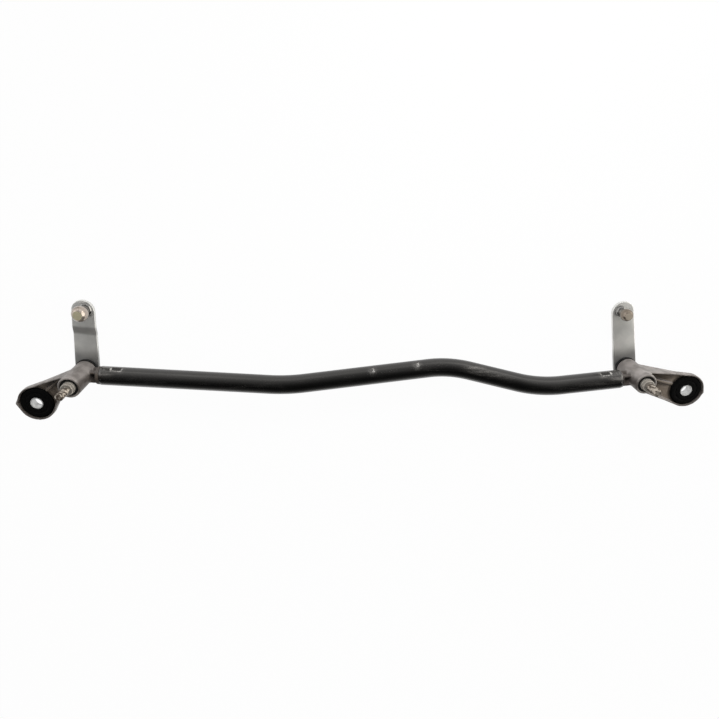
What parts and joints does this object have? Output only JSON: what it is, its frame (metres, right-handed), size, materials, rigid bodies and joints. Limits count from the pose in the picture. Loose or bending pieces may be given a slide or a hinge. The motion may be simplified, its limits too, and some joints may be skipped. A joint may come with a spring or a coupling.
{
  "type": "wiper linkage",
  "caption": "Bent black tube that joins cast pivot housings with rubber-bushed mounting ears, wiper spindles with knurled cones, and rear cranks with ball studs.",
  "frame": {"origin": "axis of the left spindle at its arm seat, the small end of its knurled cone", "axes": "+Z out along the spindles, towards the wiper arms; +X from the left spindle to the right one; +Y the side to which the cranks point"},
  "size_m": [0.7286, 0.1196, 0.0735],
  "materials": {
    "tube_paint": "satin",
    "housing_casting": "as cast",
    "grommet_rubber": "matte",
    "sleeve_steel": "satin",
    "bush_bronze": "sintered",
    "washer_plastic": "matte",
    "seal_rubber": "matte",
    "spindle_steel": "turned",
    "ring_steel": "satin",
    "crank_zinc": "zinc plated",
    "stud_zinc": "yellow zinc plated"
  },
  "bodies": {
    "frame": {"frame_tube": "tube_paint", "left_pivot_housing": "housing_casting", "right_pivot_housing": "housing_casting", "left_grommet": "grommet_rubber", "right_grommet": "grommet_rubber", "left_mount_sleeve": "sleeve_steel", "right_mount_sleeve": "sleeve_steel", "left_front_bush": "bush_bronze", "right_front_bush": "bush_bronze", "left_rear_bush": "bush_bronze", "right_rear_bush": "bush_bronze", "left_thrust_washer": "washer_plastic", "right_thrust_washer": "washer_plastic", "left_shaft_seal": "seal_rubber", "right_shaft_seal": "seal_rubber"},
    "left_shaft": {"left_spindle": "spindle_steel", "left_retaining_ring": "ring_steel", "left_crank": "crank_zinc", "left_ball_stud": "stud_zinc"},
    "right_shaft": {"right_spindle": "spindle_steel", "right_retaining_ring": "ring_steel", "right_crank": "crank_zinc", "right_ball_stud": "stud_zinc"}
  },
  "joints": [
    {"name": "left_shaft_turn", "type": "hinge", "parent": "frame", "child": "left_shaft", "pos_m": [0, 0, 0], "axis": [0, 0, 1], "range_deg": [-44, 56]},
    {"name": "right_shaft_turn", "type": "hinge", "parent": "frame", "child": "right_shaft", "pos_m": [0.592, 0, 0], "axis": [0, 0, 1], "range_deg": [-63, 37]}
  ]
}
